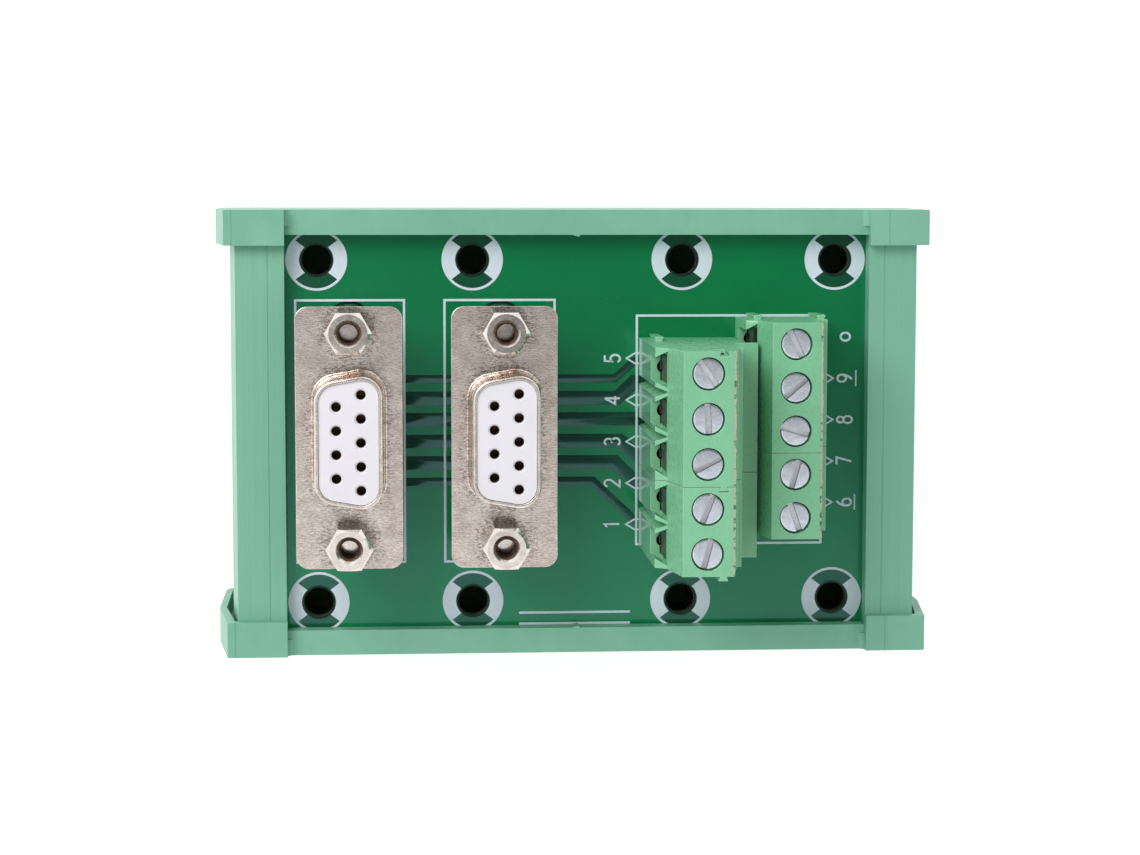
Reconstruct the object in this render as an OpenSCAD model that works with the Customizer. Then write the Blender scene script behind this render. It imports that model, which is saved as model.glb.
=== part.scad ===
// D-sub to screw-terminal adapter on a rail-mounted carrier.
// X runs across the carrier, Y runs along the mounting rail, Z is up.
// The origin lies under the middle of the carrier, on the plane of the rail hooks.

/* [Carrier] */
// Width of the board that slides into the carrier grooves
board_w = 72; // [70:0.5:76]
// Length of the board and of the carrier along the rail
board_l = 49.6; // [48:0.2:56]
// Thickness of the board
board_t = 1.6; // [1:0.1:2]
// Bare height between the carrier floor and the underside of the board
board_clear = 20.4; // [14:0.2:26]
// Thickness of the carrier floor
floor_t = 2; // [1.6:0.1:3]
// Thickness of the carrier's inner and outer side walls
wall_t = 1.3; // [1:0.1:1.6]
// Depth of the groove that holds each long edge of the board
groove_d = 0.8; // [0.5:0.1:1]
// Height of the carrier wall above the board
lip_h = 2.5; // [2:0.1:4]
// Width of the flat top of each carrier wall
lip_w = 5.8; // [5:0.1:8]
// Sideways flare of each wall between its top and its straight flank
flare_w = 1.15; // [0.6:0.05:2]
// Drop from the wall top to where the flare ends
flare_h = 10.5; // [6:0.5:14]
// Radius of the carrier's lower edges
edge_r = 2; // [1:0.25:3]

/* [End covers] */
// Thickness of the outer plate of an end cover
cover_t = 1.95; // [1.4:0.05:3]
// Thickness of the sleeve around the carrier's flank
sleeve_t = 0.85; // [0.7:0.05:1.4]
// Gap between the sleeve and the carrier's flank
sleeve_gap = 0.4; // [0.1:0.05:0.6]
// Sideways flare of an end cover
cover_flare = 1.6; // [0.6:0.05:3]
// Thickness of the sleeve over the carrier wall's top
sleeve_top_t = 1.45; // [1:0.05:2]
// Reach of the corner sleeves over the carrier
sleeve_l = 2.25; // [1.6:0.05:4]
// Reach of the middle band over the board
band_l = 1; // [0.6:0.05:1.6]
// Radius of the hollow between the middle band and a corner sleeve
band_r = 0.9; // [0.4:0.1:1.2]

/* [Rail feet] */
// Width of the mounting rail
rail_w = 35; // [34:0.5:38]
// Thickness of the rail's flanges
rail_t = 1; // [0.8:0.1:1.5]
// Reach of the hooks below the rail seat
hook_h = 4.6; // [4.4:0.1:6]
// Depth of a hook under the rail flange
hook_bite = 1.9; // [1.2:0.1:2.6]
// Thickness of the hooks where they leave the foot
hook_t = 3.2; // [2.4:0.1:4]
// Thickness of the foot between the rail seat and the carrier
foot_t = 5.9; // [5.6:0.1:8]
// Length of one foot along the rail
foot_l = 12; // [10:0.5:14]
// Gap along the rail between each foot and the end cover
foot_inset = 2.55; // [1:0.05:4]
// Travel of the sprung latch when it is pulled to free the rail
latch_travel = 2.6; // [2:0.1:3]

/* [Mounting holes] */
// Diameter of the mounting holes in the board
hole_d = 3.6; // [3:0.1:4]
// Distance of the outer mounting holes from the board's long edges
outer_inset = 4.6; // [4:0.1:6]
// Spacing of the inner mounting holes across the board
hole_span_inner = 25.4; // [24:0.1:26]
// Distance of the mounting holes from the board's ends
end_inset = 4.05; // [3.6:0.05:5]

/* [Sockets] */
// Distance of the left socket's centre from the middle of the board
dsub_left_x = -27.49; // [-28:0.01:-27]
// Distance of the right socket's centre from the middle of the board
dsub_right_x = -9.31; // [-10:0.01:-9]
// Offset of both sockets along the board
dsub_y = 0.23; // [-1:0.01:1]
// Reach of the flange past the centre of each jack screw
flange_end = 2.9; // [2.6:0.1:3.4]
// Width of the socket flange
flange_w = 12.5; // [12:0.1:13]
// Thickness of each shell's sheet
shell_t = 0.45; // [0.3:0.05:0.5]
// Height of the flange's upper face above the board
flange_z = 10.3; // [9:0.1:12]
// Height of the shell's rim above the flange
shell_h = 6.1; // [5.5:0.1:6.5]
// Long outer size of the D-shaped shell
shell_l = 16.33; // [16:0.01:16.8]
// Short outer size of the D-shaped shell
shell_w = 7.9; // [7.6:0.1:8.4]
// Distance of the long row's end contacts from the ends of the shell
contact_end = 2.625; // [2.4:0.025:2.8]
// Spacing of the two contact rows
contact_rows = 2.84; // [2.7:0.01:2.9]
// Diameter of the openings over the contacts
contact_d = 1.15; // [1:0.05:1.3]
// Distance of each jack screw's centre from the end of the shell
jack_reach = 4.335; // [4:0.005:4.6]
// Width across the flats of a jack screw
jack_af = 4.8; // [4.6:0.1:5]
// Height of a jack screw's hexagon
jack_h = 5.3; // [4:0.1:6]
// Diameter of the threaded hole in a jack screw
jack_bore = 2.5; // [2.2:0.1:2.8]
// Diameter of the round spacers under the flange
standoff_d = 5.4; // [4.8:0.1:5.6]

/* [Terminals] */
// Spacing of the poles
pitch = 5.08; // [5:0.01:5.2]
// Screw axis of the upper level, across the board
upper_x = 12.71; // [12.5:0.01:13]
// Centre of the first upper pole, along the board
upper_y = 8.79; // [8:0.01:9]
// Screw axis of the lower level, across the board
lower_x = 24.49; // [24.3:0.01:24.8]
// Centre of the first lower pole, along the board
lower_y = 11.33; // [10.6:0.01:11.6]
// Rise of the upper level over the lower level
level_rise = 11.8; // [11.6:0.1:13]
// Height of a level's top face above its base
tower_h = 14.8; // [14.6:0.1:16]
// Height of the wire shelf in front of the tower
shelf_h = 7.4; // [7:0.1:8]
// Diameter of a clamping screw's head
screw_head_d = 3.4; // [3.2:0.05:3.5]
// Outer diameter of a clamping screw's thread
screw_d = 2.9; // [2.5:0.05:3]
// Side clearance of the screw head in its well
well_gap = 0.175; // [0.1:0.025:0.25]
// Width across the rail axis of a clamping cage
cage_w = 4.2; // [4:0.05:4.4]
// Width of a clamping cage along the pole pitch
cage_l = 4; // [3.8:0.05:4.1]
// Wall of a clamping cage
cage_t = 0.45; // [0.4:0.05:0.5]
// Lift of a clamping cage between open and closed
cage_lift = 2.4; // [1.5:0.1:2.6]
// Depth of the dovetails that key neighbouring blocks together
key_d = 0.5; // [0.3:0.05:0.6]

/* [Hidden] */

// Clearances shared by all pieces
seat_gap = 0.05;
slide_gap = 0.1;
eps = 0.01;

// Heights of the carrier and the board
base_z = hook_h + foot_t;
board_z = base_z + floor_t + board_clear;
board_top = board_z + board_t;
wall_z = board_top + lip_h;

// Widths of the carrier section, from its middle
inner_x = board_w / 2 - groove_d;
lip_x = inner_x + lip_w;
flank_x = lip_x + flare_w;
shelf_t = 1.6;
spine_x = inner_x + groove_d + seat_gap;

// Dovetail ribs under the floor that hold the feet
rib_x = 22;
rib_h = 1.5;
rib_w = 3;
rib_flare = 0.7;

// Places of the feet and sizes of their latches
foot_y = board_l / 2 - sleeve_l - foot_inset - foot_l / 2;
foot_x = rail_w / 2 + 8;
latch_z = hook_h + 1.1;
latch_t = 1.8;
latch_w = 6.4;
latch_tail = foot_x + 3;
latch_lap = 3.5;

// Spacings of the mounting holes
hole_span_outer = board_w - outer_inset * 2;
hole_span_y = board_l - end_inset * 2;

// Sizes of the sockets that follow from the D-shaped shell
jack_span = shell_l + jack_reach * 2;
flange_l = jack_span + flange_end * 2;
contact_pitch = (shell_l - contact_end * 2) / 4;
shell_slope = 10;
shell_r = 2.5;
cup_w = shell_w + 2.8;
cup_l = jack_span - standoff_d - 1;
sleeve_d = contact_d + 0.55;
tail_d = 0.7;

// Section of a terminal level, measured from its screw axis
tower_rear = 2.82;
tower_front = 2.99;
tower_foot_rear = 3.9;
tower_foot_front = 4.34;
body_rear = 5.22;
body_front = 4.84;
shoulder_lap = 0.6;

// Levels: [screw axis, first pole, base above the board, shoulder height]
upper = [upper_x, upper_y, level_rise, 7.5];
lower = [lower_x, lower_y, 0, 9.5];

// Clamping screws and cages
head_t = 1.6;
head_sink = 0.3;
thread_gap = 0.15;
cage_low = 0.9;
cage_room = 6.2;
plate_t = 1.4;
cage_h = cage_t + cage_room + plate_t;
bar_z = cage_low + cage_t + cage_room - 2.15;
leg_x = -3.65;
leg_t = 0.7;
pin_w = 0.9;

// Keys between neighbouring terminal blocks
key_w = 0.7;
key_x = 1.78;
rib_key_x = -3.5;
shelf_key_x = 4.1;
key_flare = 0.2;
rib_key_h = 7.2;

// Colours of the materials
pale_green = [0.47, 0.70, 0.60];
leaf_green = [0.48, 0.72, 0.57];
mask_green = [0.05, 0.42, 0.24];
tin = [0.62, 0.60, 0.55];
nickel = [0.78, 0.77, 0.74];
zinc = [0.85, 0.86, 0.90];
ivory = [0.90, 0.90, 0.87];
graphite = [0.20, 0.21, 0.22];

// Extrudes an outline drawn in X and Z along Y, centred
module along_y(length) {
    rotate([90, 0, 0]) linear_extrude(length, center = true) children();
}

// Repeats its children mirrored to the other side of X = 0
module both_sides() {
    children();
    mirror([1, 0]) children();
}

// Outer outline of the carrier's section, grown by the given walls
module carrier_outline(side = 0, top = 0, bottom = 0, flare = flare_w) {
    low = base_z - bottom;
    r = edge_r + side;
    lip = lip_x + side;
    w = lip + flare;
    difference() {
        polygon([
            [-w, low], [w, low], [w, wall_z - flare_h],
            [lip, wall_z + top], [-lip, wall_z + top], [-w, wall_z - flare_h]
        ]);
        both_sides() translate([w - r, low + r]) difference() {
            translate([0, -r - 1]) square(r + 1);
            circle(r = r, $fn = 48);
        }
    }
}

// Main hollow under and over the board, with the shelves that carry its edges
module carrier_hollow() {
    both_sides() {
        translate([-eps, base_z + floor_t])
            square([inner_x - 0.6 + eps, wall_z - base_z]);
        translate([-eps, board_top - seat_gap * 3])
            square([inner_x + eps, lip_h + 1]);
        translate([0, board_z - seat_gap])
            square([spine_x, board_t + seat_gap * 2]);
        polygon([
            [0, base_z + floor_t], [spine_x, base_z + floor_t],
            [spine_x, board_z - shelf_t - 1.2], [inner_x - 0.6, board_z - shelf_t], [0, board_z]
        ]);
    }
}

// Closed chamber inside each side wall
module wall_chamber() {
    x0 = spine_x + wall_t;
    both_sides() polygon([
        [x0, base_z + floor_t], [flank_x - wall_t - 0.6, base_z + floor_t],
        [flank_x - wall_t, base_z + floor_t + 0.6], [flank_x - wall_t, wall_z - flare_h - 0.1],
        [lip_x - wall_t, wall_z - wall_t], [x0, wall_z - wall_t]
    ]);
}

// Dovetail ribs under the floor, grown by a gap for the grooves in the feet
module foot_rib(gap = 0) {
    root_h = floor_t / 2;
    root_w = rib_w / 2 - rib_flare * root_h / rib_h + gap;
    foot_w = rib_w / 2 + rib_flare + gap;
    for (x = [-rib_x, rib_x]) translate([x, base_z]) polygon([
        [-foot_w, -rib_h - gap], [foot_w, -rib_h - gap], [root_w, root_h], [-root_w, root_h]
    ]);
}

module carrier_profile() {
    color(pale_green) along_y(board_l) difference() {
        union() {
            carrier_outline();
            foot_rib();
        }
        carrier_hollow();
        wall_chamber();
        both_sides() translate([inner_x + lip_w / 3, wall_z]) circle(r = 0.07, $fn = 16);
    }
}

// Outline of an end cover: corner sleeves stand above the middle, with a fillet of radius r
module cover_outline(r = 0) {
    block_x = inner_x - 0.1;
    difference() {
        carrier_outline(sleeve_gap + sleeve_t, sleeve_top_t, sleeve_t, cover_flare);
        both_sides() {
            translate([-eps, wall_z]) square([block_x - r + eps, sleeve_top_t + 1]);
            translate([-eps, wall_z + r]) square([block_x + eps, sleeve_top_t + 1]);
            if (r > 0) translate([block_x - r, wall_z + r]) circle(r = r, $fn = 48);
        }
    }
}

// Cover with its plate on the +Y side
module end_cover(side) {
    face_y = board_l / 2 + seat_gap;
    mouth_y = board_l / 2 - sleeve_l;
    color(pale_green) mirror([0, side < 0 ? 1 : 0, 0]) {
        translate([0, face_y + cover_t / 2, 0]) along_y(cover_t) cover_outline(band_r);
        translate([0, (mouth_y + face_y) / 2, 0]) along_y(face_y - mouth_y + eps) difference() {
            cover_outline();
            carrier_outline(sleeve_gap, seat_gap, seat_gap, cover_flare);
            foot_rib(slide_gap);
        }
        translate([0, face_y - (band_l + seat_gap) / 2, 0]) along_y(band_l + seat_gap + eps)
            translate([-inner_x + 0.1, board_top + 0.15])
                square([inner_x * 2 - 0.2, lip_h - 0.15]);
        translate([-0.3, face_y - band_l, board_top + 0.15]) linear_extrude(lip_h - 0.15)
            polygon([[-0.75, 0.1], [-0.75, 0], [0.3, -0.28], [0.55, 0], [0.55, 0.1]]);
        for (x = [-1, 1]) translate([x * 20, face_y - 3, 0]) cover_peg();
    }
}

// Peg that locates a cover inside the carrier, standing on the plate
module cover_peg() {
    translate([-4, 0, base_z + floor_t + slide_gap]) cube([8, 3 + eps, 1.6]);
    translate([-0.8, 0, base_z + floor_t + slide_gap]) cube([1.6, 3 + eps, 6]);
}

// Section of a foot: seat for the rail, fixed hook on the left
module foot_outline() {
    hook_x = rail_w / 2 + 0.25;
    bevel = 1.4;
    difference() {
        union() {
            polygon([
                [-foot_x + bevel, hook_h], [foot_x - bevel, hook_h], [foot_x, hook_h + bevel],
                [foot_x, base_z - seat_gap], [-foot_x, base_z - seat_gap],
                [-foot_x, hook_h + bevel]
            ]);
            mirror([1, 0]) hook_outline(hook_x);
        }
        foot_rib(slide_gap);
    }
}

// Hook on the +X side that reaches under the rail flange
module hook_outline(x) {
    tip_z = hook_h - rail_t - 0.2;
    polygon([
        [x, hook_h + 0.4], [x + hook_t, hook_h + 0.4], [x + hook_t, 1.2],
        [x + hook_t - 1.2, 0], [x - 0.2, 0], [x - hook_bite, tip_z - 1.1],
        [x - hook_bite, tip_z], [x, tip_z]
    ]);
}

module rail_foot(y) {
    slot_x = rail_w / 2 - slide_gap;
    pocket_x = rail_w / 2 - latch_lap - latch_travel - 2.4;
    color(graphite) translate([0, y, 0]) difference() {
        along_y(foot_l) foot_outline();
        translate([pocket_x, -latch_w / 2 - slide_gap, latch_z - slide_gap])
            cube([foot_x, latch_w + slide_gap * 2, latch_t + slide_gap * 2]);
        translate([slot_x, -latch_w / 2 - slide_gap, hook_h - 1])
            cube([hook_t + latch_travel + 0.8, latch_w + slide_gap * 2, 2.2]);
    }
}

// Sprung latch that slides in a foot, with its hook and its pull tab
module foot_latch(y) {
    hook_x = rail_w / 2 + 0.15;
    tongue_x = rail_w / 2 - latch_lap;
    tab_t = 1.4;
    color(graphite) translate([0, y, 0]) difference() {
        union() {
            translate([tongue_x, -latch_w / 2, latch_z])
                cube([latch_tail - tongue_x, latch_w, latch_t]);
            along_y(latch_w) {
                hook_outline(hook_x);
                translate([hook_x, hook_h]) square([hook_t, latch_z - hook_h + 0.5]);
            }
            translate([latch_tail - tab_t, -latch_w / 2, latch_z - 1.6])
                cube([tab_t, latch_w, latch_t + 1.6]);
        }
        translate([latch_tail - tab_t - 1.9, -1.8, latch_z - 1]) cube([1.2, 3.6, latch_t + 2]);
    }
}

// Contact rows of one socket: [across, along] from its centre
function contact_places() = concat(
    [for (i = [-2:2]) [contact_rows / 2, i * contact_pitch]],
    [for (i = [-1.5:1.5]) [-contact_rows / 2, i * contact_pitch]]
);

module circuit_board() {
    color(mask_green) difference() {
        translate([-board_w / 2, -board_l / 2, board_z]) cube([board_w, board_l, board_t]);
        for (x = [-1, 1], y = [-1, 1], span = [hole_span_outer, hole_span_inner])
            board_hole(x * span / 2, y * hole_span_y / 2, hole_d);
        for (cx = [dsub_left_x, dsub_right_x]) {
            for (y = [-1, 1]) board_hole(cx, dsub_y + y * jack_span / 2, 3.2);
            for (p = contact_places()) board_hole(cx + p[0], dsub_y + p[1], 1);
        }
        for (i = [0:4]) {
            board_hole(upper_x + leg_x, upper_y - i * pitch, 1.5);
            board_hole(lower_x + leg_x, lower_y - i * pitch, 1.5);
        }
    }
}

module board_hole(x, y, d) {
    translate([x, y, board_z - 1]) cylinder(h = board_t + 2, d = d, $fn = 32);
}

// Corner centres and normals of the D outline, counted from the +X, +Y corner
function d_corner(right, up) =
    let (
        across = right ? shell_w / 2 - shell_r : -shell_w / 2 + shell_r,
        drop = (shell_w / 2 - across) * tan(shell_slope) + shell_r / cos(shell_slope)
    ) [across, up * (shell_l / 2 - drop)];

// One closed ring of the D outline, grown sideways, at a height
function d_ring(grow, z, n = 6) = [
    for (q = [[true, 1, 0, 100], [false, 1, 100, 180], [false, -1, 180, 260], [true, -1, 260, 360]])
        for (i = [0:n])
            let (
                a = q[2] + (q[3] - q[2]) * i / n,
                c = d_corner(q[0], q[1])
            ) [c[0] + (shell_r + grow) * cos(a), c[1] + (shell_r + grow) * sin(a), z]
];

function flat(rings) = [for (r = rings) for (p = r) p];

// Solid through a closed loop of rings with equal point counts
module ring_loop(rings) {
    n = len(rings[0]);
    m = len(rings);
    polyhedron(
        points = flat(rings),
        faces = [
            for (j = [0:m - 1], i = [0:n - 1], k = [0, 1])
                let (
                    a = j * n + i,
                    b = j * n + (i + 1) % n,
                    c = (j + 1) % m * n + i,
                    d = (j + 1) % m * n + (i + 1) % n
                ) k == 0 ? [a, c, b] : [b, c, d]
        ]
    );
}

// Plain D-shaped plug between two heights
module d_plug(grow, z0, z1) {
    translate([0, 0, z0]) linear_extrude(z1 - z0)
        polygon([for (p = d_ring(grow, 0)) [p[0], p[1]]]);
}

module rounded_plate(w, l, t, r) {
    difference() {
        translate([-w / 2, -l / 2, 0]) cube([w, l, t]);
        for (x = [0, 1], y = [0, 1]) mirror([x, 0, 0]) mirror([0, y, 0])
            translate([w / 2 - r, l / 2 - r, -eps]) difference() {
                cube([r + 1, r + 1, t + eps * 2]);
                translate([0, 0, -1]) cylinder(h = t + 3, r = r, $fn = 32);
            }
    }
}

module at_socket(cx) {
    translate([cx, dsub_y, board_top]) children();
}

// Drawn front shell: flange, rounded root and the D-shaped wall
module front_shell(cx) {
    rim = flange_z + shell_h;
    root = 0.9;
    root_steps = 4;
    color(tin) at_socket(cx) {
        difference() {
            translate([0, 0, flange_z - shell_t]) rounded_plate(flange_w, flange_l, shell_t, 1.5);
            d_plug(-shell_t, flange_z - 1, flange_z + 1);
            for (y = [-1, 1]) translate([0, y * jack_span / 2, flange_z - 1])
                cylinder(h = 2, d = 3.1, $fn = 32);
        }
        ring_loop(concat(
            [for (i = [0:root_steps]) let (a = 90 * i / root_steps)
                d_ring(root * (1 - sin(a)), flange_z - shell_t / 2 + (root + shell_t / 2) * (1 - cos(a)))],
            [d_ring(0, rim - 0.15), d_ring(-0.15, rim), d_ring(-shell_t, rim)],
            [d_ring(-shell_t, flange_z - shell_t / 2)]
        ));
    }
}

module rear_shell(cx) {
    cup_h = 2.6;
    top = flange_z - shell_t - seat_gap;
    color(tin) at_socket(cx) difference() {
        union() {
            translate([0, 0, top - shell_t]) rounded_plate(flange_w, flange_l, shell_t, 1.5);
            translate([0, 0, top - cup_h]) rounded_plate(cup_w, cup_l, cup_h - eps, 1.2);
        }
        translate([0, 0, top - cup_h - 1])
            rounded_plate(cup_w - shell_t * 2, cup_l - shell_t * 2, cup_h + 2, 0.8);
        for (y = [-1, 1]) translate([0, y * jack_span / 2, top - 2])
            cylinder(h = 3, d = 3.1, $fn = 32);
    }
}

// Front insulator with one stepped bore for each contact
module socket_insert(cx) {
    face = flange_z + shell_h - 0.25;
    foot = flange_z - shell_t;
    color(ivory) at_socket(cx) difference() {
        d_plug(-shell_t - seat_gap, foot, face);
        for (p = contact_places()) translate([p[0], p[1], 0]) {
            translate([0, 0, foot - 1]) cylinder(h = face - foot + 0.3, d = sleeve_d, $fn = 24);
            translate([0, 0, face - 1]) cylinder(h = 2, d = contact_d, $fn = 24);
            translate([0, 0, face - 0.22])
                cylinder(h = 0.24, d1 = contact_d, d2 = contact_d + 0.4, $fn = 24);
        }
    }
}

// Rear insulator that carries the solder tails
module rear_insert(cx) {
    top = flange_z - shell_t - seat_gap;
    block_h = 4.6;
    color(ivory) at_socket(cx) difference() {
        translate([0, 0, top - block_h])
            rounded_plate(cup_w - shell_t * 2 - 0.1, cup_l - shell_t * 2 - 0.1, block_h, 0.75);
        for (p = contact_places()) translate([p[0], p[1], top - block_h - 1])
            cylinder(h = block_h + 2, d = tail_d + 0.1, $fn = 24);
    }
}

module socket_contacts(cx) {
    foot = flange_z - shell_t;
    color(nickel) at_socket(cx) for (p = contact_places()) translate([p[0], p[1], 0]) {
        translate([0, 0, -board_t - 1.4]) cylinder(h = foot + board_t + 1.6, d = tail_d, $fn = 20);
        difference() {
            translate([0, 0, foot + 0.1])
                cylinder(h = shell_h - 0.9, d = sleeve_d - 0.1, $fn = 24);
            translate([0, 0, foot + 1.2]) cylinder(h = shell_h, d = 1.05, $fn = 24);
        }
    }
}

// Hexagonal jack screws with a threaded top hole and a stud
module jack_screws(cx) {
    stud_d = 2.7;
    color(nickel) at_socket(cx) for (y = [-1, 1]) translate([0, y * jack_span / 2, flange_z]) {
        difference() {
            intersection() {
                cylinder(h = jack_h, d = jack_af / cos(30), $fn = 6);
                cylinder(h = jack_h, d1 = jack_af / cos(30) + jack_h * 2,
                    d2 = jack_af - 0.3, $fn = 48);
            }
            translate([0, 0, jack_h - 4.4]) cylinder(h = 5, d = jack_bore, $fn = 32);
            translate([0, 0, jack_h - 0.35])
                cylinder(h = 0.36, d1 = jack_bore, d2 = jack_bore + 0.7, $fn = 32);
        }
        translate([0, 0, -4.8]) cylinder(h = 4.8 + eps, d = stud_d, $fn = 32);
    }
}

// Round spacers that carry the flange and are spread under the board
module standoffs(cx) {
    top = flange_z - shell_t * 2 - seat_gap;
    color(nickel) at_socket(cx) for (y = [-1, 1]) translate([0, y * jack_span / 2, 0]) {
        difference() {
            cylinder(h = top, d = standoff_d, $fn = 40);
            translate([0, 0, top - 4.6]) cylinder(h = 5, d = 2.8, $fn = 32);
        }
        translate([0, 0, -board_t - 0.8]) cylinder(h = board_t + 0.8 + eps, d = 3.1, $fn = 32);
        translate([0, 0, -board_t - 0.8]) cylinder(h = 0.75, d = 4.2, $fn = 32);
    }
}

// Ceiling over a raised cage, and the seat under a screw head
function roof_z(level) = level[2] + cage_low + cage_h + cage_lift + slide_gap * 2;
function seat_z(level) = level[2] + tower_h - head_sink - head_t - slide_gap;

// Section of one level; the upper one stands on the board and laps the lower one
module housing_outline(level) {
    raised = level[2] > 0;
    base = level[2];
    shoulder = level[3];
    step_x = lower_x - body_rear - 0.15 - upper_x;
    ledge_x = lower_x - tower_foot_rear - 0.18 - upper_x;
    polygon(concat(
        [
            [-body_rear, 0], [-body_rear, base + shoulder],
            [-tower_foot_rear, base + shoulder + (raised ? 1 : 0.4)],
            [-tower_rear, base + tower_h], [tower_front, base + tower_h],
            [tower_foot_front, base + shelf_h], [body_front, base + shelf_h]
        ],
        raised
            ? [[body_front, base - 0.1], [ledge_x, base - 0.1],
                [ledge_x, lower[3] + shoulder_lap],
                [step_x, lower[3] + shoulder_lap], [step_x, 0]]
            : [[body_front, 0]]
    ));
}

// Dovetail key in X and Y that widens towards its free end
module key_outline(w, gap = 0) {
    polygon([
        [-w / 2 - gap, eps], [w / 2 + gap, eps],
        [w / 2 + key_flare + gap, -key_d - gap], [-w / 2 - key_flare - gap, -key_d - gap]
    ]);
}

// Keys of one end face, grown by a gap for the matching sockets
module top_key(base, gap = 0) {
    translate([key_x, 0, base + tower_h - 4]) linear_extrude(4 + gap * 10)
        key_outline(key_w, gap);
}

module rib_key(level, gap = 0) {
    foot = 0.6;
    places = level[2] > 0 ? [rib_key_x] : [rib_key_x, shelf_key_x];
    mirror([0, 1, 0]) for (x = places)
        translate([x, 0, foot - gap]) linear_extrude(rib_key_h - foot + gap * 2)
            key_outline(key_w, gap);
}

// Rear pocket of one pole, open at the back and at the shoulder
module rear_pocket(level) {
    floor_z = level[2] + 2.4;
    wide = pitch / 2 - 0.4;
    narrow = pitch / 2 - 1.14;
    translate([0, 0, floor_z]) linear_extrude(level[3] + 1) polygon([
        [-body_rear - eps, -narrow], [-tower_foot_rear, -wide],
        [-tower_foot_rear, wide], [-body_rear - eps, narrow]
    ]);
    translate([-tower_foot_rear - 0.3, -1.6, floor_z])
        cube([tower_foot_rear - cage_w / 2 + 0.1, 3.2, level[3] - 2.4]);
}

// Wire funnel of one pole, from the front face to the cage
module wire_funnel(level) {
    z0 = level[2] + 1.1;
    hull() {
        translate([cage_w / 2, -1.5, z0 + 0.3]) cube([0.1, 3, 4]);
        translate([body_front, -1.95, z0 - 0.3]) cube([0.2, 3.9, 5.2]);
    }
}

// Everything that one pole takes out of the housing
module pole_cut(level) {
    base = level[2];
    pit_z = base + cage_low - slide_gap * 1.5;
    translate([0, 0, seat_z(level)])
        cylinder(h = tower_h, d = screw_head_d + well_gap * 2, $fn = 40);
    translate([0, 0, roof_z(level) - 1])
        cylinder(h = 3, d = screw_d + thread_gap * 2, $fn = 32);
    translate([-cage_w / 2 - slide_gap, -cage_l / 2 - 0.08, pit_z])
        cube([cage_w + slide_gap * 2, cage_l + 0.16, roof_z(level) - pit_z]);
    translate([leg_x - 0.45, -1.6, base + 1.7])
        cube([0.45 - leg_x - cage_w / 2, 3.2, 5.6]);
    translate([leg_x - 0.1, 0, -1]) cylinder(h = base + 3.5, d = pin_w * 1.7, $fn = 24);
    rear_pocket(level);
    wire_funnel(level);
}

// Block of poles counted from the level's first pole
module housing(level, first, count) {
    y_hi = level[1] - (first - 0.5) * pitch - seat_gap / 2;
    y_lo = level[1] - (first + count - 0.5) * pitch + seat_gap / 2;
    color(leaf_green) translate([level[0], 0, board_top]) difference() {
        union() {
            translate([0, (y_hi + y_lo) / 2, 0]) along_y(y_hi - y_lo) housing_outline(level);
            if (level[2] > 0) translate([0, y_lo, 0]) top_key(level[2]);
            translate([0, y_hi, 0]) rib_key(level);
        }
        for (i = [0:count - 1]) translate([0, level[1] - (first + i) * pitch, 0])
            pole_cut(level);
        for (i = [1:count - 1]) translate([0, level[1] - (first + i - 0.5) * pitch, -eps])
            linear_extrude(level[2] + level[3] + 1.1) polygon([
                [-body_rear - eps, -0.56], [-tower_foot_rear - 0.05, -0.1],
                [-tower_foot_rear - 0.05, 0.1], [-body_rear - eps, 0.56]
            ]);
        if (level[2] > 0) translate([0, y_hi, 0]) top_key(level[2], seat_gap);
        translate([0, y_lo, 0]) rib_key(level, seat_gap);
    }
}

// Contact strips of a block: a bar through each cage, a leg and a solder pin
module contact_strips(level, first, count) {
    base = level[2];
    bar_w = cage_l - cage_t * 2 - 0.3;
    color(nickel) for (i = [0:count - 1])
        translate([level[0], level[1] - (first + i) * pitch, board_top]) {
            translate([leg_x - leg_t / 2, -bar_w / 2, base + bar_z])
                cube([cage_w / 2 - 0.1 - leg_x + leg_t / 2, bar_w, 0.8]);
            difference() {
                translate([leg_x - leg_t / 2, -1.5, base + 1.8]) cube([leg_t, 3, 5.4]);
                translate([leg_x - 1, 0, base + 3.3]) rotate([0, 90, 0])
                    cylinder(h = 2, d = 1.1, $fn = 24);
            }
            translate([leg_x - pin_w / 2, -pin_w / 2, -board_t - 2.4])
                cube([pin_w, pin_w, board_t + 2.4 + base + 1.8 + eps]);
        }
}

// Slot direction of each screw head, first pole to last
upper_slots = [-55, -88, 27, 69, 75];
lower_slots = [-65, 41, -16, 74, -71];

module clamp_screw(level, slots, i) {
    top = level[2] + tower_h - head_sink;
    foot = level[2] + 6.3;
    color(zinc) translate([level[0], level[1] - i * pitch, board_top]) difference() {
        union() {
            translate([0, 0, foot]) cylinder(h = top - head_t - foot + eps, d = screw_d, $fn = 32);
            translate([0, 0, top - head_t]) cylinder(h = head_t - 0.2, d = screw_head_d, $fn = 40);
            translate([0, 0, top - 0.2 - eps])
                cylinder(h = 0.2 + eps, d1 = screw_head_d, d2 = screw_head_d - 0.4, $fn = 40);
        }
        translate([0, 0, top - 0.8]) rotate([0, 0, slots[i]])
            translate([-screw_head_d, -0.35, 0]) cube([screw_head_d * 2, 0.7, 2]);
    }
}

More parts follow.
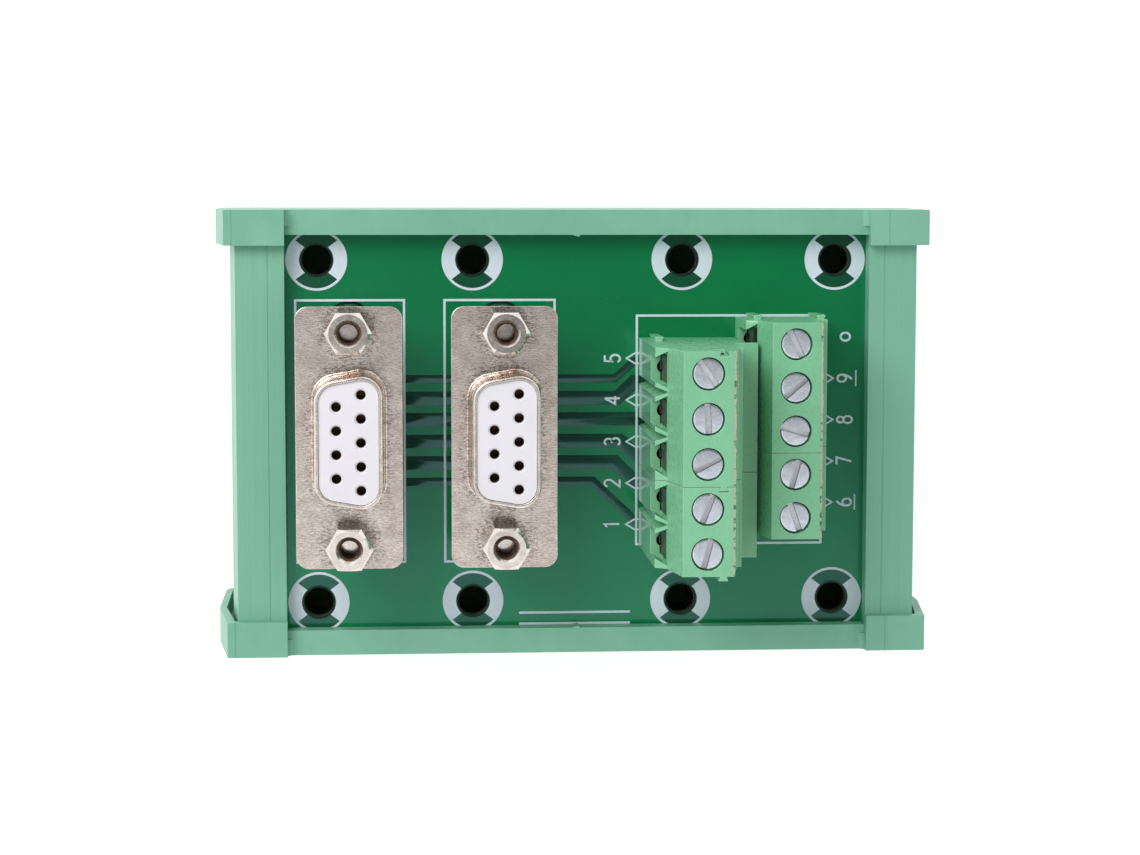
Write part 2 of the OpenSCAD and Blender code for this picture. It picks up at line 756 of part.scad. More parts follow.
// Clamping cage, drawn open: it rises on its screw and grips the wire from below
module clamp_cage(level, i) {
    low = level[2] + cage_low;
    color(nickel) translate([level[0], level[1] - i * pitch, board_top]) difference() {
        translate([-cage_w / 2, -cage_l / 2, low]) cube([cage_w, cage_l, cage_h]);
        translate([-cage_w, -cage_l / 2 + cage_t, low + cage_t])
            cube([cage_w * 2, cage_l - cage_t * 2, cage_room]);
        translate([0, 0, low + cage_t + cage_room - 1])
            cylinder(h = plate_t + 2, d = screw_d + thread_gap * 2, $fn = 32);
        for (x = [-1, 0, 1]) translate([x * cage_w / 3.5, 0, low + cage_t])
            rotate([0, 45, 0]) cube([0.28, cage_l - cage_t * 2, 0.28], center = true);
    }
}

carrier_profile();
end_cover(1);  // end_cover_back
end_cover(-1);  // end_cover_front
rail_foot(foot_y);  // rail_foot_back
rail_foot(-foot_y);  // rail_foot_front
foot_latch(foot_y);  // foot_latch_back
foot_latch(-foot_y);  // foot_latch_front
circuit_board();
front_shell(dsub_left_x);  // left_front_shell
rear_shell(dsub_left_x);  // left_rear_shell
socket_insert(dsub_left_x);  // left_socket_insert
rear_insert(dsub_left_x);  // left_rear_insert
socket_contacts(dsub_left_x);  // left_contacts
jack_screws(dsub_left_x);  // left_jack_screws
standoffs(dsub_left_x);  // left_standoffs
front_shell(dsub_right_x);  // right_front_shell
rear_shell(dsub_right_x);  // right_rear_shell
socket_insert(dsub_right_x);  // right_socket_insert
rear_insert(dsub_right_x);  // right_rear_insert
socket_contacts(dsub_right_x);  // right_contacts
jack_screws(dsub_right_x);  // right_jack_screws
standoffs(dsub_right_x);  // right_standoffs
housing(upper, 0, 3);  // upper_housing_a
housing(upper, 3, 2);  // upper_housing_b
housing(lower, 0, 3);  // lower_housing_a
housing(lower, 3, 2);  // lower_housing_b
contact_strips(upper, 0, 3);  // upper_strips_a
contact_strips(upper, 3, 2);  // upper_strips_b
contact_strips(lower, 0, 3);  // lower_strips_a
contact_strips(lower, 3, 2);  // lower_strips_b
clamp_screw(upper, upper_slots, 0);  // clamp_screw_5
clamp_screw(upper, upper_slots, 1);  // clamp_screw_4
clamp_screw(upper, upper_slots, 2);  // clamp_screw_3
clamp_screw(upper, upper_slots, 3);  // clamp_screw_2
clamp_screw(upper, upper_slots, 4);  // clamp_screw_1
clamp_screw(lower, lower_slots, 0);  // clamp_screw_s
clamp_screw(lower, lower_slots, 1);  // clamp_screw_9
clamp_screw(lower, lower_slots, 2);  // clamp_screw_8
clamp_screw(lower, lower_slots, 3);  // clamp_screw_7
clamp_screw(lower, lower_slots, 4);  // clamp_screw_6
clamp_cage(upper, 0);  // clamp_cage_5
clamp_cage(upper, 1);  // clamp_cage_4
clamp_cage(upper, 2);  // clamp_cage_3
clamp_cage(upper, 3);  // clamp_cage_2
clamp_cage(upper, 4);  // clamp_cage_1
clamp_cage(lower, 0);  // clamp_cage_s
clamp_cage(lower, 1);  // clamp_cage_9
clamp_cage(lower, 2);  // clamp_cage_8
clamp_cage(lower, 3);  // clamp_cage_7
clamp_cage(lower, 4);  // clamp_cage_6
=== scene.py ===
"""Looks of a rail-mounted socket adapter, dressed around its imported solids.

The frame's axes are X across the carrier, Y along the rail and Z up. Pieces are drawn in
millimetres and stored in metres, with the upper face of the board at BOARD_TOP.
"""
import logging
import math
from dataclasses import dataclass, field
from enum import Enum
from typing import Any, Callable, Optional, Sequence, Union

import bmesh
import bpy
from mathutils import Matrix, Vector, noise


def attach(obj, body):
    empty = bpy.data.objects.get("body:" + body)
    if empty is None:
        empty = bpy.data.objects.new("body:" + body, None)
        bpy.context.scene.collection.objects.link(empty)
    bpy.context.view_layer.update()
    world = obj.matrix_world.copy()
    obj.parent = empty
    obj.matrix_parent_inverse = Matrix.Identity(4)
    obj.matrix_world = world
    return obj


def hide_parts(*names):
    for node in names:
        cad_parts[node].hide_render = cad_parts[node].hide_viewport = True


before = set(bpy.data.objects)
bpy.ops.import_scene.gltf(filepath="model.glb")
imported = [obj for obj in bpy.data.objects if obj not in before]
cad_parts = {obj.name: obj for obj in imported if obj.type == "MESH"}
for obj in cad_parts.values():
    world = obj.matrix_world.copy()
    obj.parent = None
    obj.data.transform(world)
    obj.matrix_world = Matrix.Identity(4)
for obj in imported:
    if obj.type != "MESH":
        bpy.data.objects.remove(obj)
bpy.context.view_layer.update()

LOG = logging.getLogger("adapter")
MM = 0.001
BOARD_TOP = 34.5
FLANGE_Z = 10.3
SOCKET_X = {"left": -27.49, "right": -9.31}
SOCKET_Y = 0.23
JACK_REACH = 12.5
PITCH = 5.08
POLES = {"upper": "54321", "lower": "s9876"}
TERMINAL_X = {"upper": 12.71, "lower": 24.49}
FIRST_POLE_Y = {"upper": 8.79, "lower": 11.33}
ROOT = "adapter"

Point = tuple[float, float]
Colour = tuple[float, float, float, float]
Value = Union["Wire", float, Sequence[float]]


def srgb(red: int, green: int, blue: int) -> Colour:
    """Turns screen levels of 0 to 255 into a linear colour.

    Args:
        red: Level of red.
        green: Level of green.
        blue: Level of blue.

    Returns:
        The linear colour, opaque.
    """
    def linear(level: int) -> float:
        """Returns the linear value of one level."""
        part = level / 255
        return part / 12.92 if part <= 0.04045 else ((part + 0.055) / 1.055) ** 2.4

    return (linear(red), linear(green), linear(blue), 1.0)


class Wire:
    """A shader socket that takes part in Python arithmetic."""

    def __init__(self, graph: "Graph", socket: bpy.types.NodeSocket) -> None:
        """Keeps the graph that owns the socket."""
        self.graph = graph
        self.socket = socket

    def _with(self, operation: str, first: Value, second: Value) -> "Wire":
        """Returns the result of a Math node on two values."""
        return self.graph.node("ShaderNodeMath", {"operation": operation}, {0: first, 1: second})

    def __add__(self, other: Value) -> "Wire":
        """Returns self + other."""
        return self._with("ADD", self, other)

    def __sub__(self, other: Value) -> "Wire":
        """Returns self - other."""
        return self._with("SUBTRACT", self, other)

    def __rsub__(self, other: Value) -> "Wire":
        """Returns other - self."""
        return self._with("SUBTRACT", other, self)

    def __mul__(self, other: Value) -> "Wire":
        """Returns self * other."""
        return self._with("MULTIPLY", self, other)

    def __pow__(self, other: Value) -> "Wire":
        """Returns self to the power of other."""
        return self._with("POWER", self, other)

    def __gt__(self, other: Value) -> "Wire":
        """Returns 1 where self is greater than other."""
        return self._with("GREATER_THAN", self, other)

    def __abs__(self) -> "Wire":
        """Returns self without its sign."""
        return self._with("ABSOLUTE", self, 0.0)

    def root(self) -> "Wire":
        """Returns the square root of self."""
        return self._with("SQRT", self, 0.0)

    def least(self, other: Value) -> "Wire":
        """Returns the smaller of two values."""
        return self._with("MINIMUM", self, other)

    def most(self, other: Value) -> "Wire":
        """Returns the larger of two values."""
        return self._with("MAXIMUM", self, other)


class Graph:
    """A node tree that is built one node at a time."""

    def __init__(self, tree: bpy.types.NodeTree) -> None:
        """Starts on an emptied tree."""
        self.tree = tree
        tree.nodes.clear()

    def node(self, kind: str, settings: Optional[dict[str, Any]] = None,
             inputs: Optional[dict[Union[str, int], Value]] = None,
             output: Union[str, int] = 0) -> Wire:
        """Adds a node, sets it and fills its sockets.

        Args:
            kind: Blender's type name of the node.
            settings: Properties of the node.
            inputs: Values or wires by socket name or number.
            output: Name or number of the socket to return.

        Returns:
            The chosen output.
        """
        made = self.tree.nodes.new(kind)
        for name, value in (settings or {}).items():
            setattr(made, name, value)
        for name, value in (inputs or {}).items():
            socket = made.inputs[name]
            if isinstance(value, Wire):
                self.tree.links.new(value.socket, socket)
            else:
                socket.default_value = value
        return Wire(self, made.outputs[output]) if len(made.outputs) else Wire(self, None)

    def place(self, stretch: Sequence[float] = (1, 1, 1)) -> Wire:
        """Returns the object coordinates in millimetres, scaled on each axis."""
        raw = self.node("ShaderNodeTexCoord", output="Object")
        return self.node("ShaderNodeMapping", {"vector_type": "POINT"},
                         {"Vector": raw, "Scale": [s / MM for s in stretch]})

    def axis(self, which: str) -> Wire:
        """Returns one object coordinate in millimetres."""
        return self.node("ShaderNodeSeparateXYZ", inputs={0: self.place()}, output=which)

    def noise(self, scale: float, detail: float = 4.0, rough: float = 0.5,
              stretch: Sequence[float] = (1, 1, 1), distortion: float = 0.0) -> Wire:
        """Returns noise whose features are about 1 / scale millimetres wide."""
        return self.node("ShaderNodeTexNoise", inputs={
            "Vector": self.place(stretch), "Scale": scale, "Detail": detail,
            "Roughness": rough, "Distortion": distortion})

    def ramp(self, factor: Wire, low: float, high: float,
             bottom: float = 0.0, top: float = 1.0) -> Wire:
        """Maps a range of a value to another range, clamped."""
        return self.node("ShaderNodeMapRange", {"clamp": True}, {
            "Value": factor, "From Min": low, "From Max": high,
            "To Min": bottom, "To Max": top})

    def mix(self, factor: Value, first: Value, second: Value, blend: str = "MIX") -> Wire:
        """Returns a colour mixed from two."""
        return self.node("ShaderNodeMix", {"data_type": "RGBA", "blend_type": blend},
                         {0: factor, 6: first, 7: second}, output=2)

    def bump(self, height: Wire, depth: float, strength: float = 1.0,
             under: Optional[Wire] = None) -> Wire:
        """Bends a surface's normal by a height.

        Args:
            height: The height, from 0 to 1.
            depth: Depth of a height of 1, in millimetres.
            strength: Share of the bend that is kept.
            under: A normal that is already bent.

        Returns:
            The bent normal.
        """
        inputs: dict[Union[str, int], Value] = {
            "Height": height, "Strength": strength, "Distance": depth * MM}
        if under is not None:
            inputs["Normal"] = under
        return self.node("ShaderNodeBump", inputs=inputs)


@dataclass(frozen=True)
class Finish:
    """A surface finish; each kind of surface fills in its own graph."""

    name: str
    slot: str
    colour: Colour
    roughness: float = 0.5

    def material(self) -> bpy.types.Material:
        """Makes the material of this finish at its first use.

        Returns:
            The one material of this name.
        """
        known = bpy.data.materials.get(self.name)
        if known is not None:
            return known
        made = bpy.data.materials.new(self.name)
        made.use_nodes = True
        graph = Graph(made.node_tree)
        surface = graph.node("ShaderNodeBsdfPrincipled", inputs=self.sockets(graph))
        graph.node("ShaderNodeOutputMaterial", inputs={"Surface": surface})
        made.diffuse_color = self.colour
        return made

    def sockets(self, graph: Graph) -> dict[Union[str, int], Value]:
        """Returns the shader's sockets and their values."""
        return {"Base Color": self.colour, "Roughness": self.roughness}


@dataclass(frozen=True)
class MouldedPlastic(Finish):
    """Injection-moulded plastic: fine spark-eroded grain, slow sink and flow tones."""

    shade: Colour = (0, 0, 0, 1)
    grain: float = 0.012
    grain_scale: float = 9.0
    sheen: float = 0.5
    weld_x: tuple[float, ...] = ()
    weld_half: float = 0.09
    weld_tone: float = 0.45
    polished_x: float = -100.0
    polish: float = 0.12

    def sockets(self, graph: Graph) -> dict[Union[str, int], Value]:
        """Fills the sockets of a moulded surface.

        Args:
            graph: The material's node tree.

        Returns:
            Values and wires by socket name.
        """
        slow = graph.ramp(graph.noise(0.09, 2.0), 0.35, 0.65)
        fine = graph.noise(1.3, 4.0, 0.6)
        flow = graph.noise(0.35, 3.0, 0.55, (1.0, 0.6, 1.0), 0.6)
        tone = (slow * 0.6 + graph.ramp(fine, 0.35, 0.7) * 0.12
                + graph.ramp(flow, 0.4, 0.65) * 0.28)
        grain = graph.noise(self.grain_scale, 3.0, 0.65)
        scuffs = graph.ramp(graph.noise(0.8, 5.0, 0.7, (1, 1, 1), 1.5), 0.62, 0.78)
        colour = graph.mix(tone, self.shade, self.colour)
        for x in self.weld_x:
            near = graph.ramp(abs(graph.axis("X") - x), 0.02, self.weld_half,
                              self.weld_tone, 0.0)
            colour = graph.mix(near, colour, self.shade, "MULTIPLY")
        rough = (graph.ramp(fine, 0.3, 0.75, self.roughness - 0.06, self.roughness + 0.06)
                 - scuffs * 0.04)
        matte = graph.axis("X") > self.polished_x
        return {
            "Base Color": colour,
            "Roughness": graph.ramp(matte, 0, 1, self.polish, 1.0).least(rough),
            "Specular IOR Level": self.sheen,
            "Normal": graph.bump(grain, self.grain, 0.8, graph.bump(flow, 0.006, 0.5)),
        }


@dataclass(frozen=True)
class ExtrudedPlastic(Finish):
    """Extruded plastic: long die lines along the rail over a satin skin."""

    shade: Colour = (0, 0, 0, 1)

    def sockets(self, graph: Graph) -> dict[Union[str, int], Value]:
        """Fills the sockets of an extruded surface.

        Args:
            graph: The material's node tree.

        Returns:
            Values and wires by socket name.
        """
        lines = graph.noise(2.6, 3.0, 0.6, (1.0, 0.006, 1.0))
        fine = graph.noise(9.0, 2.0, 0.6, (1.0, 0.02, 1.0))
        slow = graph.ramp(graph.noise(0.08, 2.0), 0.35, 0.65)
        grain = graph.noise(7.0, 3.0, 0.6)
        tone = slow * 0.5 + graph.ramp(lines, 0.35, 0.65) * 0.5
        return {
            "Base Color": graph.mix(tone, self.shade, self.colour),
            "Roughness": graph.ramp(fine, 0.3, 0.7, self.roughness - 0.06,
                                    self.roughness + 0.08),
            "Subsurface Weight": 0.06,
            "Subsurface Radius": (0.5, 0.9, 0.6),
            "Subsurface Scale": 0.8 * MM,
            "Normal": graph.bump(grain, 0.006, 0.7, graph.bump(lines, 0.03, 0.8)),
        }


@dataclass(frozen=True)
class SolderMask(Finish):
    """Glossy lacquer over copper and laminate; cut edges show the bare laminate."""

    shade: Colour = (0, 0, 0, 1)
    laminate: Colour = (0.05, 0.045, 0.03, 1)

    def sockets(self, graph: Graph) -> dict[Union[str, int], Value]:
        """Fills the sockets of a lacquered board.

        Args:
            graph: The material's node tree.

        Returns:
            Values and wires by socket name.
        """
        slow = graph.ramp(graph.noise(0.05, 2.0), 0.3, 0.7)
        weave = graph.noise(1.1, 2.0)
        specks = graph.ramp(graph.noise(2.4, 2.0, 0.7), 0.72, 0.78)
        face = graph.axis("Z") > BOARD_TOP - 0.05
        mask = graph.mix(slow * 0.6 + weave * 0.4, self.shade, self.colour)
        mask = graph.mix(specks * 0.12, mask, (0.5, 0.6, 0.5, 1))
        return {
            "Base Color": graph.mix(face, self.laminate, mask),
            "Roughness": graph.ramp(face, 0, 1, 0.7, self.roughness) + specks * 0.06,
            "Specular IOR Level": 0.8,
            "Specular Tint": (0.5, 1.0, 1.0, 1.0),
            "Normal": graph.bump(graph.noise(0.35, 2.0), 0.02, 0.3,
                                 graph.bump(weave, 0.003, 0.4)),
        }


@dataclass(frozen=True)
class Ink(Finish):
    """Screen-printed ink: slightly uneven, with a few pinholes of the mask below."""

    below: Colour = (0, 0, 0, 1)
    pinholes: float = 0.35

    def sockets(self, graph: Graph) -> dict[Union[str, int], Value]:
        """Fills the sockets of printed ink.

        Args:
            graph: The material's node tree.

        Returns:
            Values and wires by socket name.
        """
        mottle = graph.ramp(graph.noise(1.6, 4.0, 0.65), 0.3, 0.75)
        pins = graph.ramp(graph.noise(5.5, 2.0, 0.6), 0.70, 0.76)
        base = graph.mix(mottle * 0.18, self.colour, self.below)
        return {
            "Base Color": graph.mix(pins * self.pinholes, base, self.below),
            "Roughness": graph.ramp(mottle, 0, 1, self.roughness, self.roughness + 0.15),
            "Normal": graph.bump(graph.noise(6.0, 3.0), 0.01, 0.6),
        }


@dataclass(frozen=True)
class Plated(Finish):
    """Plated or tinned metal: cloudy tone, fine pitting and drawn or turned marks."""

    shade: Colour = (0, 0, 0, 1)
    cloud: float = 0.6
    pits: float = 0.02
    pit_scale: float = 6.0
    streak: Sequence[float] = (1.0, 1.0, 1.0)
    speckle: float = 0.5

    def sockets(self, graph: Graph) -> dict[Union[str, int], Value]:
        """Fills the sockets of a plated surface.

        Args:
            graph: The material's node tree.

        Returns:
            Values and wires by socket name.
        """
        cloud = graph.ramp(graph.noise(self.cloud, 4.0, 0.6), 0.35, 0.68)
        grit = graph.noise(self.pit_scale, 4.0, 0.7, self.streak)
        dark = graph.ramp(grit, 0.3, 0.62)
        tone = cloud * (1 - self.speckle) + dark * self.speckle
        return {
            "Base Color": graph.mix(tone, self.shade, self.colour),
            "Metallic": 1.0,
            "Roughness": graph.ramp(grit, 0.3, 0.7, self.roughness + 0.12,
                                    self.roughness - 0.05),
            "Normal": graph.bump(grit, self.pits, 0.7,
                                 graph.bump(graph.noise(0.9, 2.0), 0.02, 0.4)),
        }


@dataclass(frozen=True)
class TinnedSheet(Plated):
    """Hot-tinned sheet of a socket's flange: dark specks, crowding round its bends and nuts as
    painted shade in those creases.
    """

    centre: Point = (0.0, 0.0)
    shell_half: float = 4.3
    nut_radius: float = 3.0
    # The dark colour below serves the flange's specks and the painted shade round the shell and
    # nuts; the reach is how far that painted shade spreads.
    crease_shade_reach: float = 1.6
    specks_and_crease_shade: Colour = srgb(74, 62, 54)

    def sockets(self, graph: Graph) -> dict[Union[str, int], Value]:
        """Fills the sockets of the tinned flange.

        Args:
            graph: The material's node tree.

        Returns:
            Values and wires by socket name.
        """
        made = super().sockets(graph)
        across = graph.axis("X") - self.centre[0]
        along = abs(graph.axis("Y") - self.centre[1])
        past_side = (along - self.shell_half).most(0.0)
        to_shell = (across * across + past_side ** 2.0).root() - self.shell_half
        to_nut = (across * across + (along - JACK_REACH) ** 2.0).root() - self.nut_radius
        # Painted shade: the specks grow denser near the shell's root and the nuts, where shade
        # falls in the creases.
        near = graph.ramp(to_shell.least(to_nut), 0.0, self.crease_shade_reach, 1.0, 0.0)
        specks = graph.noise(4.2, 3.0, 0.8, (0.45, 1.0, 1.0))
        specks_and_shade = graph.ramp(specks + near * 0.15, 0.62, 0.72)
        on_face = graph.axis("Z") > BOARD_TOP + FLANGE_Z - 0.5
        low = 1 - (graph.axis("Z") > BOARD_TOP + FLANGE_Z + 0.3)
        # Mixes the specks and that painted crease shade into the colour of the flange's face.
        made["Base Color"] = graph.mix(specks_and_shade * on_face * low * 0.6, made["Base Color"],
                                       self.specks_and_crease_shade)
        return made


@dataclass(frozen=True)
class TurnedZinc(Finish):
    """Bright zinc on headed screws: fine crystals, long swirled scratches."""

    shade: Colour = (0, 0, 0, 1)
    depth: float = 0.008

    def sockets(self, graph: Graph) -> dict[Union[str, int], Value]:
        """Fills the sockets of a zinc-plated screw.

        Args:
            graph: The material's node tree.

        Returns:
            Values and wires by socket name.
        """
        smear = graph.noise(0.9, 4.0, 0.6, (1, 1, 1), 1.6)
        crystal = graph.noise(11.0, 3.0, 0.7)
        worn = graph.ramp(graph.noise(2.2, 5.0, 0.7, (1, 1, 1), 0.8), 0.55, 0.72)
        tone = graph.ramp(smear, 0.35, 0.65) * 0.5 + graph.ramp(crystal, 0.35, 0.6) * 0.5
        return {
            "Base Color": graph.mix(tone, self.shade, self.colour),
            "Metallic": 1.0,
            "Roughness": graph.ramp(crystal, 0.3, 0.7, self.roughness + 0.08,
                                    self.roughness - 0.05) + worn * 0.1,
            "Normal": graph.bump(crystal, self.depth, 0.6,
                                 graph.bump(smear, self.depth * 3, 0.5)),
        }


@dataclass(frozen=True)
class Flash(Finish):
    """Ragged flash left along a mould's parting line, painted pale as a highlight along that
    edge, with dark gaps.
    """

    shade: Colour = (0, 0, 0, 1)

    def sockets(self, graph: Graph) -> dict[Union[str, int], Value]:
        """Fills the sockets of a flash line.

        Args:
            graph: The material's node tree.

        Returns:
            Values and wires by socket name.
        """
        gaps = graph.ramp(graph.noise(1.5, 3.0, 0.6, (0.4, 1.0, 0.4)), 0.56, 0.62)
        return {"Base Color": graph.mix(gaps, self.colour, self.shade),
                "Roughness": self.roughness}


PROFILE = ExtrudedPlastic("profile_green", "profile_plastic", srgb(124, 184, 156), 0.42,
                          shade=srgb(116, 177, 150))
# Painted highlight: a lighter finish on the profile's rounded edges, standing in for light
# caught along them.
PROFILE_HIGHLIGHT = ExtrudedPlastic("profile_edge_highlight_green", "profile_plastic", srgb(150, 202, 178),
                               0.4, shade=srgb(134, 190, 164))
COVER = MouldedPlastic("cover_green", "cover_plastic", srgb(126, 186, 160), 0.44,
                       shade=srgb(112, 174, 147), grain=0.006, weld_x=(-41.3, 37.4))
# Painted highlight: a lighter finish on the covers' rounded edges, standing in for light caught
# along them.
COVER_HIGHLIGHT = MouldedPlastic("cover_edge_highlight_green", "cover_plastic", srgb(160, 208, 184), 0.42,
                            shade=srgb(144, 196, 170), grain=0.004)
TERMINAL = MouldedPlastic("terminal_green", "terminal_plastic", srgb(133, 201, 159), 0.30,
                          shade=srgb(121, 190, 147), grain=0.0008, sheen=0.55,
                          polished_x=7.56)
# Painted highlight: a lighter finish on the housings' rounded edges, standing in for light
# caught along them.
TERMINAL_HIGHLIGHT = MouldedPlastic("terminal_edge_highlight_green", "terminal_plastic",
                               srgb(164, 214, 182), 0.3, shade=srgb(150, 204, 170),
                               grain=0.002)
# Painted highlight: the pale colour of the flash stands in for light caught along the block's
# front edge.
TERMINAL_FLASH_HIGHLIGHT = Flash("terminal_flash_highlight", "terminal_plastic", srgb(178, 180, 152), 0.5,
                       shade=srgb(76, 104, 74))
FOOT = MouldedPlastic("foot_grey", "foot_plastic", srgb(66, 68, 70), 0.5,
                      shade=srgb(52, 54, 56))
LATCH = MouldedPlastic("latch_grey", "latch_plastic", srgb(78, 80, 82), 0.45,
                       shade=srgb(60, 62, 64))
INSERT = MouldedPlastic("socket_white", "socket_plastic", srgb(236, 233, 240), 0.4,
                        shade=srgb(228, 226, 232), grain=0.003)
MASK = SolderMask("mask_lacquer", "solder_mask", srgb(7, 124, 70), 0.12,
                  shade=srgb(5, 112, 62))
TRACE = SolderMask("mask_over_copper", "solder_mask", srgb(26, 66, 52), 0.14,
                   shade=srgb(20, 58, 46))
MASK_DARK = SolderMask("mask_over_laminate", "solder_mask", srgb(12, 78, 50), 0.14,
                       shade=srgb(8, 70, 44))
PAD = Plated("pad_ring", "contact_metal", srgb(44, 66, 58), 0.3, shade=srgb(30, 46, 40))
INK = Ink("board_print", "solder_mask", srgb(212, 224, 234), 0.45, below=srgb(150, 184, 180))
TIN = {side: TinnedSheet(f"tinned_sheet_{side}", "tinned_shell", srgb(244, 234, 226), 0.2,
                         shade=srgb(176, 160, 150), pits=0.016,
                         streak=(0.4, 1.0, 1.0), speckle=0.6, centre=(x, SOCKET_Y))
       for side, x in SOCKET_X.items()}
NICKEL = Plated("nickel_plate", "nickel_nuts", srgb(244, 236, 230), 0.1,
                shade=srgb(214, 204, 196), pits=0.002, speckle=0.3)
# Brownish lining of the threaded bores, made darker than the nickel as painted shade inside the
# bores.
BORE = Plated("jack_bore", "nickel_nuts", srgb(150, 122, 100), 0.3,
              shade=srgb(84, 62, 50))
CONTACT = Plated("contact_tin", "contact_metal", srgb(150, 130, 96), 0.35,
                 shade=srgb(96, 80, 56))
# Painted reflection and shade: the tinned strips are coloured grey-green for the green housing
# they mirror and dark for the shade of their pockets.
STRIP = Plated("strip_tin_reflection_and_shade", "contact_metal", srgb(128, 136, 116), 0.36,
               shade=srgb(70, 80, 66))
CAGE = Plated("cage_nickel", "cage_metal", srgb(176, 172, 166), 0.32,
              shade=srgb(120, 116, 110))
ZINC = TurnedZinc("bright_zinc", "zinc_screws", srgb(232, 238, 246), 0.28,
                  shade=srgb(190, 198, 210))
# Painted highlight: the slot's floor is coloured brighter than the head, for the light it
# reflects.
ZINC_SLOT_HIGHLIGHT = TurnedZinc("slot_floor_painted_highlight", "zinc_screws", srgb(250, 251, 255), 0.5,
                        shade=srgb(222, 226, 234), depth=0.02)
# Painted shade: the slot's walls are coloured darker than the head, for the shade inside the
# slot.
ZINC_SLOT_SHADE = TurnedZinc("slot_wall_painted_shade", "zinc_screws", srgb(136, 138, 144), 0.3,
                       shade=srgb(90, 92, 96))


class Shape:
    """A mesh in millimetres that is drawn with bmesh operators."""

    def __init__(self) -> None:
        """Starts empty."""
        self.bm = bmesh.new()

    def bevel(self, edges: Sequence[bmesh.types.BMEdge], width: float,
              steps: int = 2) -> list[bmesh.types.BMFace]:
        """Rounds edges of the shape.

        Args:
            edges: The edges to round.
            width: Width of the bevel in millimetres.
            steps: Number of faces across it.

        Returns:
            The new faces.
        """
        made = bmesh.ops.bevel(self.bm, geom=list(edges), offset=width, offset_type="OFFSET",
                               segments=steps, profile=0.5, affect="EDGES",
                               clamp_overlap=True, material=-1)
        return made["faces"]

    def ring(self, centre: Point, inner: float, outer: float, height: float,
             cuts: Sequence[tuple[Point, Point]] = (), steps: int = 64) -> None:
        """Adds a flat ring on the board, or what is left of it after straight cuts.

        Args:
            centre: Centre of the ring on the board.
            inner: Inner radius.
            outer: Outer radius.
            height: Thickness.
            cuts: Pairs of a point and an outward direction, from the centre.
            steps: Sides of the circles.
        """
        part = bmesh.new()
        loops = []
        for radius in (inner, outer):
            verts = bmesh.ops.create_circle(part, segments=steps, radius=radius)["verts"]
            loops += list({e for v in verts for e in v.link_edges})
        bmesh.ops.bridge_loops(part, edges=loops)
        for (px, py), (nx, ny) in cuts:
            bmesh.ops.bisect_plane(part, geom=part.verts[:] + part.edges[:] + part.faces[:],
                                   plane_co=(px, py, 0), plane_no=(nx, ny, 0),
                                   clear_outer=True)
        bmesh.ops.translate(part, vec=(*centre, 0), verts=part.verts[:])
        self.take(raised(part, height))

    def turned(self, profile: Sequence[Point], centre: Sequence[float], steps: int = 32) -> None:
        """Adds a body turned round Z.

        Args:
            profile: Radii and heights along its outline.
            centre: Where the turning axis stands.
            steps: Sides of the full turn.
        """
        part = bmesh.new()
        verts = [part.verts.new((r, 0, z)) for r, z in profile]
        edges = [part.edges.new(pair) for pair in zip(verts, verts[1:])]
        bmesh.ops.spin(part, geom=verts + edges, cent=(0, 0, 0), axis=(0, 0, 1),
                       angle=math.tau, steps=steps, use_merge=True)
        bmesh.ops.remove_doubles(part, verts=part.verts[:], dist=1e-4)
        bmesh.ops.recalc_face_normals(part, faces=part.faces[:])
        bmesh.ops.translate(part, vec=centre, verts=part.verts[:])
        self.take(part)

    def take(self, part: bmesh.types.BMesh) -> None:
        """Adds another mesh to this one.

        Args:
            part: The mesh to add; it is freed.
        """
        held = bpy.data.meshes.new("held")
        part.to_mesh(held)
        part.free()
        self.bm.from_mesh(held)
        bpy.data.meshes.remove(held)

    def strokes(self, lines: Sequence["Stroke"], height: float, slope: float = 0.0) -> None:
        """Adds flat lines that lie on the board, each a hair higher than the last.

        Args:
            lines: The lines to draw.
            height: Thickness of the first line over the board.
            slope: Width of the bevel on the line's upper edges.
        """
        for step, line in enumerate(lines):
            self.take(line.solid(height + step * 0.0005, slope))

    def piece(self, name: str, finishes: Sequence[Finish], body: str = ROOT,
              smooth: float = 40.0) -> bpy.types.Object:
        """Turns the shape into an object that rides on a body.

        Args:
            name: Name of the piece.
            finishes: Its surface finishes, in the order of the faces' material numbers.
            body: The body that carries it.
            smooth: Angle in degrees above which an edge stays sharp.

        Returns:
            The new object.
        """
        bmesh.ops.transform(self.bm, matrix=Matrix.Scale(MM, 4), verts=self.bm.verts[:])
        mesh = bpy.data.meshes.new(name)
        self.bm.to_mesh(mesh)
        self.bm.free()
        for face in mesh.polygons:
            face.use_smooth = True
        mesh.set_sharp_from_angle(angle=math.radians(smooth))
        for finish in finishes:
            mesh.materials.append(finish.material())
        made = bpy.data.objects.new(name, mesh)
        bpy.context.scene.collection.objects.link(made)
        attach(made, body)
        LOG.info("piece %s: %d faces on %s", name, len(mesh.polygons), body)
        return made


